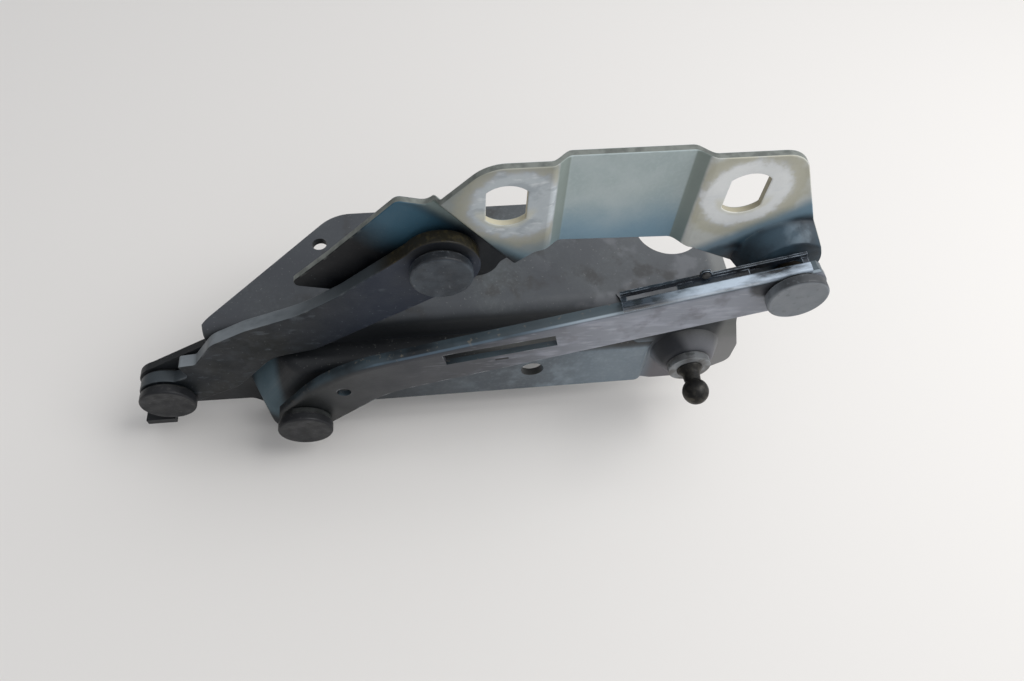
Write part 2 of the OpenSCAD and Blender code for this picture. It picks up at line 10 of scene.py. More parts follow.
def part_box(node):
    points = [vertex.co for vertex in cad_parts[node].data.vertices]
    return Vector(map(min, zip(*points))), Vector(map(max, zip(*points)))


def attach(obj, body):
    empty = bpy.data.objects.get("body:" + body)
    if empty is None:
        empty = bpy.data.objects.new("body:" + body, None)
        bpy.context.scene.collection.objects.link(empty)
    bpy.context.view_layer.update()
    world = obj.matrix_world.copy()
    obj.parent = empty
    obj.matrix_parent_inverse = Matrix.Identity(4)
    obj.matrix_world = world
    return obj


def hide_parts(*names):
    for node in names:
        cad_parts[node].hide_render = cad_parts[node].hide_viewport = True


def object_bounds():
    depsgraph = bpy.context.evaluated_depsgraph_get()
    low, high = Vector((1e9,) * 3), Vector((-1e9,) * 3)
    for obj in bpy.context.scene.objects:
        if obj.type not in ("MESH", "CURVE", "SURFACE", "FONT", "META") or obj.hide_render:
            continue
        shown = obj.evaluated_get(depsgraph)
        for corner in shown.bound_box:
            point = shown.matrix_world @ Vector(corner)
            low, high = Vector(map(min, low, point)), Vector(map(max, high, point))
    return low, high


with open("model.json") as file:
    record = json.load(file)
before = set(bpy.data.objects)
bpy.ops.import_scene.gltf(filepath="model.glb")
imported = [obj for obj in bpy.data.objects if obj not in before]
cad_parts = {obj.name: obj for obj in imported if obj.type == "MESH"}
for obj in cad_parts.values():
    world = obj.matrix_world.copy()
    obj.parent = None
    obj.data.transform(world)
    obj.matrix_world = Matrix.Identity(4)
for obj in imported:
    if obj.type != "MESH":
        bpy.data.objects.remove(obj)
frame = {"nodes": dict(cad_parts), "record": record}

bl_info = {
    "name": "Bonnet hinge finish",
    "version": (1, 1, 0),
    "blender": (4, 5, 0),
    "location": "View3D > Sidebar > Hinge",
    "description": "Dresses a four-bar bonnet hinge: worn electrocoat, bare zinc and greasy rivets",
    "category": "Object",
}

MM = 0.001
CAD_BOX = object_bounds()


def middle(box):
    """The middle of a box given in metres, in millimetres."""
    return tuple((low + high) / 2 / MM for low, high in zip(*box))


# Places on the hinge in millimetres, first those that the frame gives
OPENINGS = {opening["name"]: middle(opening["box_m"]) for opening in frame["record"]["physics"]["openings"]}
MOUNTS = {mount["name"]: tuple(c / MM for c in mount["pos_m"]) for mount in frame["record"]["mounts"]}
REAR_HOLE = OPENINGS["rear_bonnet_hole"]
FRONT_HOLE = OPENINGS["front_bonnet_hole"]
PIVOT_A = middle(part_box("pivot_rivet_a"))
PIVOT_C = middle(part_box("pivot_rivet_c"))
PIVOT_D = middle(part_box("pivot_rivet_d"))
STUD = middle(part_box("stud_washer"))
PAD_Y = MOUNTS["bonnet_pads"][1]
# Then those that were set to where the photograph shows the paint change
BOSS_SHADE = (STUD[0] - 8.0, 0.0, STUD[2] + 5.0)
WEB_STAIN = (PIVOT_D[0] - 10.5, 0.0, PIVOT_D[2] + 2.0)
LEDGE_Z = -2.0
BEAD_Y = -51.2
EAR_PEAK = (-34.0, 0.0, 56.0)
PATCH_REACH = 16.0
RIDGE_X = -93.0
WEB_MARK = (-4.4, 0.0, -0.85)
WEB_MARK_TILT = math.radians(-8.0)
WEB_MARK_HALF_LONG = 2.2
WEB_MARK_HALF_WIDE = 0.35
WEB_MARK_SOFT = 0.4

# The photograph's camera: place and near limit in metres, and its axes seen in the frame
CAMERA_PLACE = (-0.0263, -0.1920, 0.2322)
CAMERA_RIGHT = (0.993, -0.110, 0.044)
CAMERA_BACK = (-0.095, -0.524, 0.847)
CAMERA_LENS_MM = 26.72
CAMERA_SENSOR_MM = 36.0
CAMERA_NEAR = 0.01

# The stage in metres and watts. The room's light grows with the lean towards its bright side
FLOOR_HALF = 3.0
FLOOR_GAP = 1 * MM
FLOOR_ROUGHNESS = 0.9
ROOM_COLOUR = "#f0f2f6"
ROOM_BRIGHT_SIDE = (0.65, -0.15, 0.75)
ROOM_LEAN = (-0.6, 0.9)
ROOM_STRENGTH = (0.08, 0.95)
WINDOW_PLACE = (0.50, -0.05, 0.62)
WINDOW_AIM = (0.0, -0.03, 0.0)
WINDOW_SIZE = 0.55
WINDOW_WATTS = 4.4

# What the mesh work takes as one point, as flat and as an edge to break
SAME_POINT = 0.002 * MM
SAME_HEIGHT = 0.01 * MM
FLAT_ANGLE = math.radians(0.5)
EDGE_ANGLE = math.radians(28)
EDGE_SEGMENTS = 2

# Rings on the rivet heads, each an inset and a sink in millimetres
RINGED_HEAD = ((2.2, 0.12), (0.5, 0.12), (2.6, 0.0), (0.6, 0.15))
PLAIN_HEAD = ((1.2, 0.15), (0.8, 0.0))

# What the coats' patterns share: octaves of noise, seeds, height of the grain, rays of the edge mask
NOISE_DETAIL = 5.0
WANDER_SEED = 2.0
GLOSS_SEED = 9.0
GRAIN_SEED = 10.0
GRAIN_HEIGHT = 0.1 * MM
EDGE_SAMPLES = 4

X, Y, Z = (1.0, 0.0, 0.0), (0.0, 1.0, 0.0), (0.0, 0.0, 1.0)
# Square to the bend between the bonnet bracket's rear ear and its rear pad, in the side view
BEND = (0.788, 0.0, 0.616)
# Square to the borders of the dark paint and painted shade on the rear ear and in the bonnet bracket's
# front corner
EAR_BORDER = (0.6, 0.0, 0.8)
CORNER_BORDER = (-0.53, 0.0, 0.85)
# Half way between the long arm's web and its folded top
FOLD_CREST = (0.0, -math.sqrt(0.5), math.sqrt(0.5))
WEB_ALONG = (math.cos(WEB_MARK_TILT), 0.0, -math.sin(WEB_MARK_TILT))
WEB_ACROSS = (math.sin(WEB_MARK_TILT), 0.0, math.cos(WEB_MARK_TILT))


# Masks: where a paint lies. Each is 0 where its measure is at low and 1 where it is at high

class Cloud(NamedTuple):
    """Cloudy patches of about size_mm, drawn out along an axis where stretch is under 1."""
    size_mm: float
    low: float
    high: float
    seed: float = 0.0
    stretch: tuple = (1.0, 1.0, 1.0)


class Along(NamedTuple):
    """Place along a direction in millimetres. The border wanders by wander[0] in waves of wander[1]."""
    direction: tuple
    low: float
    high: float
    wander: tuple = (0.0, 1.0)


class Around(NamedTuple):
    """Distance from a point in the hinge's side view, in millimetres, with a border that wanders."""
    point: tuple
    low: float
    high: float
    wander: tuple = (0.0, 1.0)


class Facing(NamedTuple):
    """How far the surface faces a direction, or its opposite too where both is set."""
    direction: tuple
    low: float
    high: float
    both: bool = False


class Edge(NamedTuple):
    """The piece's edges, where handling wears the coat first."""
    radius_mm: float
    low: float = 0.99
    high: float = 0.86


def between(direction, centre, half, soft):
    """The two masks that leave only the stretch of half either side of centre, with soft ends."""
    start, end = centre - half, centre + half
    return Along(direction, start - soft, start), Along(direction, end + soft, end)


UP = Facing(Z, 0.25, 0.8)


# Materials. The masks' places are in millimetres, set to the photograph

def linear(hex_colour):
    """The linear RGBA of an sRGB hex colour such as #53595b."""
    channels = [int(hex_colour[i:i + 2], 16) / 255 for i in (1, 3, 5)]
    return tuple(c / 12.92 if c <= 0.04045 else ((c + 0.055) / 1.055) ** 2.4 for c in channels) + (1.0,)


def add(tree, kind, inputs=None, output=0, **settings):
    """Adds a node with its settings, fills or links its inputs, and returns one of its outputs."""
    made = tree.nodes.new(kind)
    for name, value in settings.items():
        setattr(made, name, value)
    for key, value in (inputs or {}).items():
        if isinstance(value, bpy.types.NodeSocket):
            tree.links.new(value, made.inputs[key])
        else:
            made.inputs[key].default_value = value
    return made.outputs[output] if made.outputs else None


def cover(tree, place, normal, mask):
    """How far a mask takes in each point of the surface, from 0 to 1."""
    if isinstance(mask, Cloud):
        spread = add(tree, "ShaderNodeVectorMath", {0: place, 1: mask.stretch}, operation="MULTIPLY")
        measure = add(tree, "ShaderNodeTexNoise", {
            "Vector": spread, "W": mask.seed, "Scale": 1 / mask.size_mm, "Detail": NOISE_DETAIL,
        }, noise_dimensions="4D")
    elif isinstance(mask, Along):
        ends = {0: place, 1: mask.direction}
        measure = add(tree, "ShaderNodeVectorMath", ends, "Value", operation="DOT_PRODUCT")
    elif isinstance(mask, Around):
        side_view = add(tree, "ShaderNodeVectorMath", {0: place, 1: (1, 0, 1)}, operation="MULTIPLY")
        ends = {0: side_view, 1: (mask.point[0], 0, mask.point[2])}
        measure = add(tree, "ShaderNodeVectorMath", ends, "Value", operation="DISTANCE")
    elif isinstance(mask, Facing):
        ends = {0: normal, 1: mask.direction}
        measure = add(tree, "ShaderNodeVectorMath", ends, "Value", operation="DOT_PRODUCT")
        if mask.both:
            measure = add(tree, "ShaderNodeMath", {0: measure}, operation="ABSOLUTE")
    elif isinstance(mask, Edge):
        soft = add(tree, "ShaderNodeBevel", {"Radius": mask.radius_mm * MM}, samples=EDGE_SAMPLES)
        true = add(tree, "ShaderNodeNewGeometry", output="True Normal")
        ends = {0: soft, 1: true}
        measure = add(tree, "ShaderNodeVectorMath", ends, "Value", operation="DOT_PRODUCT")
    else:
        raise TypeError(f"no such mask: {mask}")
    swing, wave_mm = getattr(mask, "wander", (0.0, 1.0))
    if swing:
        wave = add(tree, "ShaderNodeTexNoise", {
            "Vector": place, "W": WANDER_SEED, "Scale": 1 / wave_mm, "Detail": NOISE_DETAIL,
        }, noise_dimensions="4D")
        shift = add(tree, "ShaderNodeMapRange", {"Value": wave, "To Min": -swing / 2, "To Max": swing / 2})
        measure = add(tree, "ShaderNodeMath", {0: measure, 1: shift}, operation="ADD")
    return add(tree, "ShaderNodeMapRange", {
        "Value": measure, "From Min": mask.low, "From Max": mask.high,
    }, interpolation_type="SMOOTHSTEP")


def surface(name, ground, layers, roughness, relief, **shader):
    """A material of paints laid one over another.

    Each layer is a colour, its strength and the masks that must all hold. roughness is its lowest and
    highest value and the size of its patches. relief is the width of the fine grain and its strength.
    Lengths are in millimetres.
    """
    material = bpy.data.materials.new(name)
    material.use_nodes = True
    tree = material.node_tree
    tree.nodes.clear()
    place = add(tree, "ShaderNodeTexCoord", output="Object")
    place = add(tree, "ShaderNodeVectorMath", {0: place, "Scale": 1 / MM}, operation="SCALE")
    normal = add(tree, "ShaderNodeTexCoord", output="Normal")
    covers = {}
    colour = linear(ground)
    for paint, strength, *masks in layers:
        share = strength
        for mask in masks:
            if mask not in covers:
                covers[mask] = cover(tree, place, normal, mask)
            share = add(tree, "ShaderNodeMath", {0: covers[mask], 1: share}, operation="MULTIPLY")
        colour = add(tree, "ShaderNodeMix", {0: share, 6: colour, 7: linear(paint)}, 2, data_type="RGBA")
    smooth, rough, patch_mm = roughness
    patches = cover(tree, place, normal, Cloud(patch_mm, 0.3, 0.7, GLOSS_SEED))
    gloss = add(tree, "ShaderNodeMapRange", {"Value": patches, "To Min": smooth, "To Max": rough})
    grain_mm, depth = relief
    grain = cover(tree, place, normal, Cloud(grain_mm, 0.0, 1.0, GRAIN_SEED))
    bumps = add(tree, "ShaderNodeBump", {"Height": grain, "Strength": depth, "Distance": GRAIN_HEIGHT})
    inputs = {"Base Color": colour, "Roughness": gloss, "Normal": bumps, **shader}
    finished = add(tree, "ShaderNodeBsdfPrincipled", inputs)
    add(tree, "ShaderNodeOutputMaterial", {"Surface": finished})
    return material


def base_electrocoat(grain_mm):
    """Electrocoated pressed steel: satin dark grey, cloudy and dusty on top, paler blue low in front."""
    smudge, speckle = Cloud(26, 0.36, 0.66, 1.0), Cloud(1.3, 0.44, 0.72, 2.0)
    stain, dust = Cloud(9, 0.52, 0.66, 6.0), Cloud(0.9, 0.63, 0.72, 8.0)
    bloom, bleached = Cloud(8, 0.50, 0.70, 12.0), Cloud(14, 0.55, 0.64, 15.0)
    chipped = Cloud(5, 0.46, 0.7, 3.0)
    strut_pad = Along(X, 53, 60)
    below_ledge = Along(Z, LEDGE_Z, LEDGE_Z - 4)
    layers = [
        ("#26292c", 1.0, smudge),
        # The front is painted paler towards the strut as painted light falling from the right, and the
        # strut's own pad is warm grey
        ("#4f565c", 1.0, Along(X, -78, 0)),
        ("#75818a", 1.0, Along(X, 0, 45)),
        ("#8d9aa3", 0.4, bloom, Along(X, -50, 30)),
        ("#a4b3bc", 0.12, speckle, Along(X, -70, 30)),
        ("#6a686c", 1.0, strut_pad),
        # Painted shade on the strut's pad above the stud, under the long arm
        ("#3a3a3d", 0.7, strut_pad, Around(STUD, 26, 18), Along(Z, -18, -8)),
        # Painted shade darkens the front high up, under the arms. The flange is dusty grey on top, and the
        # step below its ledge is lightened olive as painted light, darker at its left end as painted shade
        ("#2a2d30", 1.0, Along(Z, -15, -8)),
        ("#45484c", 1.0, UP),
        ("#505456", 1.0, UP, smudge),
        # Painted light: the flange's top is lighter towards the right
        ("#5e6063", 0.5, UP, Along(X, -10, 60)),
        ("#74767a", 0.5, UP, bleached, Along(X, 0, 40)),
        ("#3a3836", 0.55, UP, stain),
        ("#63676a", 0.5, UP, speckle, smudge),
        # Painted shade: the flange's top is darker towards the left
        ("#34363b", 0.6, UP, Along(X, -40, -105)),
        ("#474744", 0.8, UP, below_ledge),
        ("#0c1015", 0.9, Facing(Z, 0.05, 0.4), below_ledge, Along(X, 5, -25)),
        # A blue sheen is painted on the drawn corner as a painted highlight
        ("#4e646e", 0.8, *between(X, RIDGE_X, 3.5, 4.0), Along(Z, -52, -42), Along(Z, -6, -13),
         Facing(Y, 0.3, 0.0)),
        ("#a2a29e", 0.2, UP, dust),
        # A grey ring round the stud's washer, shade beside it and a paler end
        ("#606166", 0.75, Around(STUD, 7.5, 9.5), Around(STUD, 14.5, 10.5)),
        ("#14181e", 0.85, Around(BOSS_SHADE, 9, 5)),
        ("#8d8e8b", 0.5, Along(X, STUD[0] + 9, STUD[0] + 13)),
        ("#7d7f7f", 0.9, Edge(0.9), chipped, Along(Z, LEDGE_Z - 3, LEDGE_Z)),
    ]
    return surface("electrocoated_steel_base", "#17181a", layers, (0.42, 0.62, 14), (grain_mm, 0.35),
                   **{"Specular IOR Level": 0.35})


def arm_electrocoat(grain_mm):
    """Electrocoated flat bar: blue-black front, top edge rubbed grey, olive grease at the bonnet pivot."""
    smudge, cloud = Cloud(18, 0.36, 0.68, 1.0), Cloud(3.5, 0.48, 0.72, 6.0)
    nicks, specks = Cloud(1.4, 0.60, 0.68, 18.0, (0.2, 1.0, 0.5)), Cloud(0.9, 0.64, 0.70, 17.0)
    rubbed_and_glint, chipped = Cloud(8, 0.22, 0.60, 3.0, (0.4, 1.0, 1.0)), Cloud(4, 0.48, 0.72, 4.0)
    grease = Cloud(1.5, 0.48, 0.66, 5.0)
    top = Facing(Z, 0.35, 0.75)
    layers = [
        ("#181d23", 1.0, smudge),
        ("#262e3d", 0.85, Along(X, -80, -40)),
        ("#343a41", 0.35, cloud),
        ("#5a6168", 0.3, nicks),
        ("#8a9094", 0.2, specks),
        ("#383e42", 1.0, top),
        ("#7d8387", 0.9, top, rubbed_and_glint, Along(X, -45, -105), Around(PIVOT_A, 11, 18)),
        ("#211d12", 1.0, Around(PIVOT_C, 24, 14), Facing(Z, 0.0, 0.35)),
        ("#4a4228", 0.6, Around(PIVOT_C, 20, 14), Facing(Z, 0.1, 0.5), grease),
        ("#1d1c17", 0.7, Around(PIVOT_C, 14.5, 11.5), Along(Z, 40, 46)),
        ("#7b7f80", 0.8, Edge(0.9), chipped, Around(PIVOT_C, 16, 24)),
    ]
    return surface("electrocoated_steel_short_arm", "#0f1313", layers, (0.38, 0.60, 10), (grain_mm, 0.35),
                   **{"Specular IOR Level": 0.32})


def web_electrocoat(grain_mm):
    """Electrocoated sheet, handled smooth: charcoal at the base, painted lighter to lavender grey towards
    the bonnet as a painted reflection.
    """
    smudge, stain = Cloud(16, 0.36, 0.68, 1.0), Cloud(7, 0.52, 0.68, 5.0)
    streaks = Cloud(3, 0.46, 0.70, 2.0, (0.3, 1.0, 1.0))
    scratches = Cloud(0.9, 0.60, 0.68, 7.0, (0.12, 1.0, 1.0))
    crest_glint = Cloud(9, 0.30, 0.55, 8.0, (0.3, 1.0, 1.0))
    dirt, chipped = Cloud(1.5, 0.60, 0.70, 17.0), Cloud(5, 0.46, 0.7, 3.0)
    fold, crest = Facing(Z, 0.35, 0.8), Facing(FOLD_CREST, 0.955, 0.99)
    mark_along = sum(a * b for a, b in zip(WEB_MARK, WEB_ALONG))
    mark_across = sum(a * b for a, b in zip(WEB_MARK, WEB_ACROSS))
    layers = [
        ("#292b2c", 1.0, smudge),
        # Painted reflection: the web is painted lighter towards the bonnet
        ("#3d3f44", 1.0, Along(X, -80, -20)),
        ("#878b94", 1.0, Along(X, -20, 40)),
        ("#a6a9b5", 0.6, streaks, Along(X, -40, 40)),
        ("#64646a", 0.55, stain, Along(X, -25, 25)),
        ("#c3c6cf", 0.2, scratches, Along(X, -60, 20)),
        # A short dark mark lies along the web, and a stain beside the bonnet pivot
        ("#1a1a1b", 1.0, *between(WEB_ALONG, mark_along, WEB_MARK_HALF_LONG, WEB_MARK_SOFT),
         *between(WEB_ACROSS, mark_across, WEB_MARK_HALF_WIDE, WEB_MARK_SOFT)),
        ("#1d1e21", 0.85, Around(WEB_STAIN, 6.5, 3.5, (3.0, 3))),
        ("#161b1f", 1.0, fold),
        ("#3a474e", 1.0, fold, smudge),
        # Painted light: the fold's top is lighter towards the right
        ("#535e64", 0.8, fold, Along(X, -30, 30)),
        # A painted highlight runs along the crest of the fold, brightest towards the right
        ("#6b8296", 0.45, crest, crest_glint),
        ("#b7c4ce", 0.8, crest, Along(X, 0, 28)),
        ("#8c7f6c", 0.3, fold, dirt),
        ("#a3a9ae", 0.9, Edge(0.9), chipped, Facing(Z, 0.2, 0.0)),
    ]
    return surface("electrocoated_steel_long_arm", "#1d1f1f", layers, (0.32, 0.54, 12), (grain_mm, 0.25),
                   **{"Specular IOR Level": 0.4})


def strip_electrocoat(grain_mm):
    """Electrocoated rolled strip: blue-black, with painted highlight and painted dark reflection streaks
    for the wet gloss on the bead, bright where its edges are chipped.
    """
    smudge = Cloud(5, 0.40, 0.66, 1.0, (0.4, 1.0, 1.0))
    glint_streak = Cloud(4, 0.30, 0.56, 4.0, (0.3, 1.0, 1.0))
    dark_reflection_streak = Cloud(2.2, 0.50, 0.60, 6.0, (0.25, 1.0, 1.0))
    chipped = Cloud(4, 0.42, 0.66, 2.0)
    bead = Along(Y, BEAD_Y, BEAD_Y - 1.2)
    layers = [
        ("#262d36", 1.0, smudge),
        # Painted highlight and painted dark reflection streaks for the bead's wet gloss
        ("#3f4751", 1.0, bead, glint_streak),
        ("#0d1116", 0.8, bead, dark_reflection_streak, Along(X, 64, 50)),
        ("#bccad8", 1.0, bead, glint_streak, Along(X, 44, 62)),
        ("#a8b4c0", 1.0, Edge(0.6), chipped),
    ]
    return surface("electrocoated_steel_stiffener", "#0d1015", layers, (0.18, 0.36, 6), (grain_mm, 0.12),
                   **{"Coat Weight": 0.7, "Coat Roughness": 0.15})


def bonnet_overspray(grain_mm):
    """Electrocoat under overspray: grey-green fading to blue-black, bare zinc where the bolts clamped."""
    cloud, fine = Cloud(13, 0.36, 0.67, 1.0), Cloud(3, 0.40, 0.66, 2.0)
    mist, chalky = Cloud(1.2, 0.44, 0.66, 7.0), Cloud(3, 0.22, 0.55, 2.0)
    dull = Cloud(5.5, 0.50, 0.62, 11.0, (0.6, 1.0, 1.0))
    bright = Cloud(1.8, 0.54, 0.66, 14.0, (0.35, 1.0, 1.0))
    sheen, rubbed_and_glint = Cloud(8, 0.50, 0.64, 12.0, (0.5, 1.0, 1.0)), Cloud(7, 0.46, 0.60, 16.0)
    specks, sheared = Cloud(1.0, 0.62, 0.70, 17.0), Cloud(3, 0.35, 0.6, 2.0)
    chipped = Cloud(3, 0.50, 0.70, 13.0)
    pad = Along(Y, PAD_Y + 1.6, PAD_Y + 0.6)
    boss = Along(Y, PAD_Y + 0.5, PAD_Y - 2.0)
    cut = Facing(Y, 0.5, 0.2, both=True)
    # How far a border wanders, and in waves of what length
    drift, ripple, ear_ripple, corner_ripple = (14.0, 13), (7.0, 3), (4.0, 13), (4.0, 9)
    ear = Along(EAR_BORDER, 33.0, 27.0, ear_ripple)
    corner = (Along(X, 48, 60), Along(CORNER_BORDER, -3.0, -7.5, corner_ripple), Along(Z, 53, 48))
    layers = [
        ("#afbaba", 1.0, cloud),
        ("#b4bfbf", 0.3, mist),
        ("#6f90a4", 0.85, Along(Z, 64, 40, drift)),
        # Painted shade on the sloped S-bends, darker olive
        ("#78827b", 0.8, Facing(X, 0.10, 0.4, both=True)),
        ("#9ea3a8", 1.0, pad),
        ("#b0b4ba", 1.0, pad, cloud),
        ("#c8cccf", 0.7, pad, fine),
        ("#dcdedd", 1.0, pad, Along(X, 46, 62), chalky),
    ]
    # Each bolt left a patch of bare zinc with a chalky margin
    for hole, shift, outside, chalk, bare, strength in (
        (REAR_HOLE, 3.0, "#868b86", "#a5a391", "#c6ced1", 0.75),
        (FRONT_HOLE, 0.0, "#c3c5be", "#b9b59d", "#f0f2f1", 0.95),
    ):
        patch = (hole[0] + shift, 0.0, hole[2])
        inside = Around(patch, PATCH_REACH - 1.0, PATCH_REACH - 4.0, ripple)
        rim = Around(patch, PATCH_REACH - 3.0, PATCH_REACH - 0.5, ripple)
        rim_end = Around(patch, PATCH_REACH + 5.0, PATCH_REACH + 1.0, ripple)
        beyond = Around(patch, PATCH_REACH - 1.5, PATCH_REACH + 2.0, ripple)
        layers += [
            (outside, 0.85, pad, beyond, Around(patch, 36, 30)),
            (bare, strength, pad, inside),
            ("#8b939a", 0.45, pad, inside, dull, Along(X, 60, 20)),
            ("#e4e7e8", 0.5, pad, inside, bright),
            (chalk, 0.7, pad, rim, rim_end),
            ("#d8d4bd", 0.5, pad, Around(hole, 10.5, 8.5, (2.0, 3)), Along(Z, hole[2], hole[2] - 4)),
        ]
    layers += [
        # Low down, at the front corner and on the boss, the paint turns blue and then blue-black, dark coat
        # deepened by painted shade, with a painted blue sheen in the corner and a painted highlight arc on
        # top of the boss
        ("#4d6d80", 0.8, Along(X, 85, 97), Along(Z, 66, 46, drift)),
        ("#5a7f95", 0.8, Along(X, 46, 58), Along(CORNER_BORDER, 2.0, -3.5, corner_ripple)),
        ("#1a242d", 1.0, *corner),
        ("#44606f", 0.6, *corner, sheen),
        ("#5f7784", 0.7, Along(X, 30, 10), Along(Z, 48, 36, drift)),
        ("#1b2730", 1.0, boss),
        ("#374b58", 1.0, boss, cloud),
        ("#8394a0", 0.6, boss, Facing(Z, 0.75, 0.97), rubbed_and_glint),
        # So does the rear ear, its dark coat deepened by painted shade, with a painted blue sheen at its
        # peak
        ("#4d6a78", 0.7, Along(EAR_BORDER, 36.0, 30.0, ear_ripple), Along(Z, 52, 46)),
        ("#56645f", 0.7, Along(EAR_BORDER, 42.0, 35.0), Along(BEND, 21.5, 18.5)),
        ("#06080d", 1.0, ear),
        ("#0e151c", 1.0, ear, Along(BEND, 0, 17)),
        ("#335668", 1.0, ear, Around(EAR_PEAK, 21, 4, (7.0, 8))),
        ("#5d6668", 0.3, ear, specks),
        # The sheared edges are dull, and the bolt holes' are cream
        ("#5b5f5b", 1.0, cut),
        ("#757974", 1.0, cut, sheared),
        ("#c9c2a9", 0.9, cut, Around(REAR_HOLE, 11.5, 9.5)),
        ("#aea790", 0.9, cut, Around(FRONT_HOLE, 11.5, 9.5)),
        ("#8d918c", 0.7, Edge(0.8), chipped),
    ]
    return surface("overspray_on_electrocoat_bonnet", "#a2afaf", layers, (0.40, 0.62, 9), (grain_mm, 0.35),
                   **{"Specular IOR Level": 0.35})


def rivet_coat(name, dark, light, wear_and_painted_light):
    """Cold-headed steel under electrocoat: satin grey with shallow rings, rubbed paler at the rim, painted
    paler towards the right as painted light and darker on top as painted shade.
    """
    layers = [
        (light, 1.0, Cloud(6, 0.34, 0.7, 1.0)),
        # Painted light: the heads towards the right are paler
        (wear_and_painted_light, 0.75, Along(X, 0, 90)),
        # Painted shade on top of the heads
        ("#141518", 0.8, UP),
        (wear_and_painted_light, 0.28, Cloud(1.6, 0.58, 0.76, 5.0)),
        ("#111214", 0.2, Cloud(2.4, 0.56, 0.68, 7.0)),
        (wear_and_painted_light, 0.8, Edge(0.8), Cloud(3, 0.42, 0.66, 2.0)),
    ]
    return surface(name, dark, layers, (0.38, 0.60, 4), (0.8, 0.5), **{"Specular IOR Level": 0.35})


def oily_metal(name, dark, light, metallic, patch_mm, gloss):
    """Bare, plated or sintered metal: oily darker patches, painted shade on top, uneven gloss where grease
    sits.
    """
    oil_mm, gloss_mm = patch_mm * 0.6, patch_mm * 1.5
    layers = [
        (light, 1.0, Cloud(patch_mm, 0.38, 0.64, 1.0)),
        ("#0e0d0b", 0.6, Cloud(oil_mm, 0.58, 0.70, 3.0)),
        # Painted shade on top
        ("#1e1e1e", 0.6, Facing(Z, 0.3, 0.7)),
    ]
    return surface(name, dark, layers, (gloss, gloss + 0.25, gloss_mm), (0.7, 0.5), Metallic=metallic)


# Shapes

def head_rings(steps):
    """Returns a shaper that sinks rings into a rivet head, as (inset, sink) steps in millimetres."""
    def shape(mesh):
        front = min(v.co.y for v in mesh.verts)
        faces = [face for face in mesh.faces if all(abs(v.co.y - front) < SAME_HEIGHT for v in face.verts)]
        if not faces:
            raise RuntimeError("the rivet head has no flat front to sink rings into")
        for inset, sink in steps:
            bmesh.ops.inset_region(
                mesh, faces=faces, thickness=inset * MM, depth=-sink * MM, use_even_offset=True)
    return shape


def dressed(node, body, material, edge, shape=None, clamped=True):
    """Puts a copy of a CAD node in its place, with a coat and, where its outline allows, broken edges."""
    mesh = bmesh.new()
    mesh.from_mesh(frame["nodes"][node].data)
    bmesh.ops.remove_doubles(mesh, verts=mesh.verts, dist=SAME_POINT)
    bmesh.ops.dissolve_limit(mesh, angle_limit=FLAT_ANGLE, verts=mesh.verts, edges=mesh.edges)
    if shape:
        shape(mesh)
    bmesh.ops.recalc_face_normals(mesh, faces=mesh.faces)
    data = bpy.data.meshes.new(node + "_finish")
    mesh.to_mesh(data)
    mesh.free()
    data.materials.append(material)
    data.shade_smooth()
    piece = bpy.data.objects.new(node + "_finish", data)
    bpy.context.scene.collection.objects.link(piece)
    round_off = piece.modifiers.new("broken_edges", "BEVEL")
    round_off.width = edge
    round_off.segments = EDGE_SEGMENTS
    round_off.limit_method = "ANGLE"
    round_off.angle_limit = EDGE_ANGLE
    round_off.harden_normals = False
    # Clamping stops bevels that would meet, but very short steps in an outline then hold all edges sharp
    round_off.use_clamp_overlap = clamped
    weighting = piece.modifiers.new("face_weighting", "WEIGHTED_NORMAL")
    weighting.keep_sharp = True
    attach(piece, body)
    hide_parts(node)


# Settings and operators

class HingeLook(bpy.types.PropertyGroup):
    """What a user would change on the hinge."""

    sheet_edge: bpy.props.FloatProperty(
        name="Sheet edge", description="Radius of the broken edges of the pressed sheets",
        default=0.45 * MM, min=0.0, subtype="DISTANCE", unit="LENGTH")
    turned_edge: bpy.props.FloatProperty(
        name="Turned edge", description="Radius of the broken edges of the turned pieces and the strip",
        default=0.25 * MM, min=0.0, subtype="DISTANCE", unit="LENGTH")
    coat_grain: bpy.props.FloatProperty(
        name="Coat grain", description="Width of the coat's orange peel, drawn coarse enough to show",
        default=1.1 * MM, min=0.1 * MM, subtype="DISTANCE", unit="LENGTH")
    floor_colour: bpy.props.FloatVectorProperty(
        name="Floor", description="Colour of the floor",
        subtype="COLOR", size=4, default=linear("#e0ddd9"), min=0.0, max=1.0)


class HINGE_OT_base(bpy.types.Operator):
    """Dress the base bracket with its ball stud"""

    bl_idname = "hinge.base"
    bl_label = "Base bracket"

    def execute(self, context):
        look = context.scene.hinge_look
        coat = base_electrocoat(look.coat_grain / MM)
        ball = oily_metal("greasy_bare_steel_ball", "#161513", "#45423b", 0.6, 2.0, 0.36)
        washer = oily_metal("zinc_plated_steel_washer", "#6b6a69", "#93979a", 0.3, 5.0, 0.35)
        dressed("base_bracket", "base", coat, look.sheet_edge)
        dressed("ball_stud", "base", ball, look.turned_edge)
        dressed("stud_washer", "base", washer, look.turned_edge)
        return {"FINISHED"}


class HINGE_OT_arms(bpy.types.Operator):
    """Dress the short arm, the long arm and its stiffener"""

    bl_idname = "hinge.arms"
    bl_label = "Arms"

    def execute(self, context):
        look = context.scene.hinge_look
        grain_mm = look.coat_grain / MM
        bar = arm_electrocoat(grain_mm)
        web = web_electrocoat(grain_mm)
        strip = strip_electrocoat(grain_mm)
        dressed("short_arm", "short_arm_body", bar, look.sheet_edge, clamped=False)
        dressed("long_arm", "long_arm_body", web, look.sheet_edge)
        dressed("long_arm_stiffener", "long_arm_body", strip, look.turned_edge)
        return {"FINISHED"}


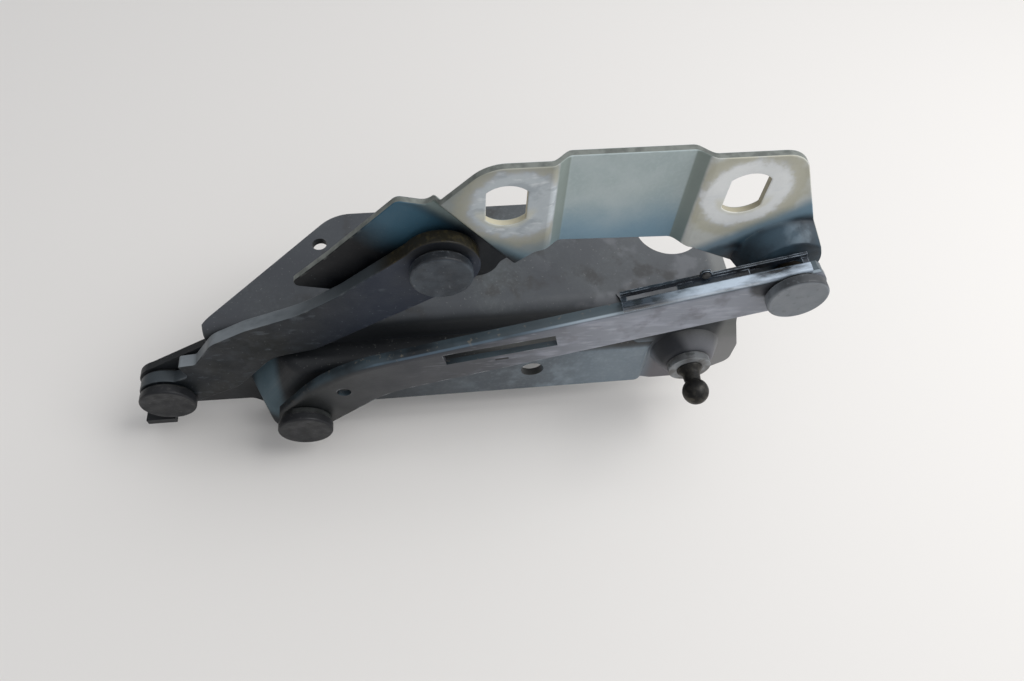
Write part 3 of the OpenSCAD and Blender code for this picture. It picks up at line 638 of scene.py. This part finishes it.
class HINGE_OT_bonnet(bpy.types.Operator):
    """Dress the bonnet bracket"""

    bl_idname = "hinge.bonnet"
    bl_label = "Bonnet bracket"

    def execute(self, context):
        look = context.scene.hinge_look
        coat = bonnet_overspray(look.coat_grain / MM)
        dressed("bonnet_bracket", "bonnet_body", coat, look.sheet_edge, clamped=False)
        return {"FINISHED"}


class HINGE_OT_pivots(bpy.types.Operator):
    """Dress the rivets, washers and bushes of the four pivots, and the stiffener's rivet"""

    bl_idname = "hinge.pivots"
    bl_label = "Pivots"

    def execute(self, context):
        edge = context.scene.hinge_look.turned_edge
        dark = rivet_coat("electrocoated_rivet_dark", "#15171a", "#232427", "#5c5a57")
        grey = rivet_coat("electrocoated_rivet_grey", "#2b3138", "#3f464d", "#858a8f")
        washer = oily_metal("oiled_dark_steel_washer", "#1d2020", "#3d4140", 0.4, 3.0, 0.4)
        bronze = oily_metal("sintered_bronze_bush", "#221b12", "#46391f", 0.7, 2.0, 0.4)
        ringed = head_rings(RINGED_HEAD)
        plain = head_rings(PLAIN_HEAD)
        for letter, body, slot, coat, shape in (
            ("a", "base", "rivet_dark", dark, ringed),
            ("b", "base", "rivet_dark", dark, ringed),
            ("c", "bonnet_body", "rivet_grey", grey, plain),
            ("d", "bonnet_body", "rivet_grey", grey, plain),
        ):
            dressed("pivot_rivet_" + letter, body, coat, edge, shape)
            dressed("front_washer_" + letter, body, washer, edge)
        # The thinner pieces take half the edge
        thin_edge = edge / 2
        for letter, body in (("a", "base"), ("c", "bonnet_body")):
            dressed("rear_washer_" + letter, body, washer, thin_edge)
        for letter, body in (("a", "short_arm_body"), ("b", "long_arm_body"), ("d", "long_arm_body")):
            dressed("bush_" + letter, body, bronze, thin_edge)
        dressed("stiffener_rivet", "long_arm_body", dark, thin_edge)
        return {"FINISHED"}


class HINGE_OT_stage(bpy.types.Operator):
    """Lay the pale floor, set the soft light and the photograph's camera"""

    bl_idname = "hinge.stage"
    bl_label = "Stage"

    def execute(self, context):
        scene = context.scene
        scene.view_settings.view_transform = "Standard"
        self.lay_floor(scene)
        self.light(scene)
        self.point_camera(scene)
        return {"FINISHED"}

    def lay_floor(self, scene):
        """A plain matt sheet just under the hinge."""
        mesh = bmesh.new()
        bmesh.ops.create_grid(mesh, x_segments=1, y_segments=1, size=FLOOR_HALF)
        data = bpy.data.meshes.new("floor")
        mesh.to_mesh(data)
        mesh.free()
        floor = bpy.data.objects.new("floor", data)
        floor.location.z = CAD_BOX[0][2] - FLOOR_GAP
        scene.collection.objects.link(floor)
        material = bpy.data.materials.new("matt_paper_floor")
        material.use_nodes = True
        shader = material.node_tree.nodes["Principled BSDF"]
        shader.inputs["Base Color"].default_value = scene.hinge_look.floor_colour
        shader.inputs["Roughness"].default_value = FLOOR_ROUGHNESS
        data.materials.append(material)

    def light(self, scene):
        """A room that is bright to the upper right and dim to the left, with one soft window."""
        world = bpy.data.worlds.new("soft_room")
        world.use_nodes = True
        tree = world.node_tree
        tree.nodes.clear()
        facing = add(tree, "ShaderNodeTexCoord")
        ends = {0: facing, 1: Vector(ROOM_BRIGHT_SIDE).normalized()}
        lean = add(tree, "ShaderNodeVectorMath", ends, "Value", operation="DOT_PRODUCT")
        strength = add(tree, "ShaderNodeMapRange", {
            "Value": lean, "From Min": ROOM_LEAN[0], "From Max": ROOM_LEAN[1],
            "To Min": ROOM_STRENGTH[0], "To Max": ROOM_STRENGTH[1],
        })
        room = add(tree, "ShaderNodeBackground", {"Color": linear(ROOM_COLOUR), "Strength": strength})
        add(tree, "ShaderNodeOutputWorld", {"Surface": room})
        scene.world = world
        lamp = bpy.data.lights.new("window", "AREA")
        lamp.size = WINDOW_SIZE
        lamp.energy = WINDOW_WATTS
        window = bpy.data.objects.new("window", lamp)
        window.location = WINDOW_PLACE
        window.rotation_euler = (window.location - Vector(WINDOW_AIM)).to_track_quat("Z", "Y").to_euler()
        scene.collection.objects.link(window)

    def point_camera(self, scene):
        """The camera where the photograph was taken from, with its axes made exactly square."""
        data = bpy.data.cameras.new("photograph")
        data.lens = CAMERA_LENS_MM
        data.sensor_width = CAMERA_SENSOR_MM
        data.clip_start = CAMERA_NEAR
        camera = bpy.data.objects.new("photograph", data)
        right = Vector(CAMERA_RIGHT).normalized()
        back = Vector(CAMERA_BACK)
        back = (back - right * back.dot(right)).normalized()
        up = back.cross(right)
        turn = Matrix((right, up, back)).transposed().to_4x4()
        camera.matrix_world = Matrix.Translation(CAMERA_PLACE) @ turn
        scene.collection.objects.link(camera)
        scene.camera = camera


class HINGE_PT_panel(bpy.types.Panel):
    """The hinge's steps and settings"""

    bl_idname = "HINGE_PT_panel"
    bl_label = "Bonnet hinge"
    bl_space_type = "VIEW_3D"
    bl_region_type = "UI"
    bl_category = "Hinge"

    def draw(self, context):
        look = context.scene.hinge_look
        for name in look.__annotations__:
            self.layout.prop(look, name)
        for step in STEPS:
            self.layout.operator(step.bl_idname)


STEPS = (HINGE_OT_base, HINGE_OT_arms, HINGE_OT_bonnet, HINGE_OT_pivots, HINGE_OT_stage)
CLASSES = (HingeLook, *STEPS, HINGE_PT_panel)


def register():
    for made in CLASSES:
        bpy.utils.register_class(made)
    bpy.types.Scene.hinge_look = bpy.props.PointerProperty(type=HingeLook)


def unregister():
    del bpy.types.Scene.hinge_look
    for made in reversed(CLASSES):
        bpy.utils.unregister_class(made)


def main():
    register()
    bpy.ops.hinge.base()
    bpy.ops.hinge.arms()
    bpy.ops.hinge.bonnet()
    bpy.ops.hinge.pivots()
    bpy.ops.hinge.stage()


if __name__ == "__main__":
    main()
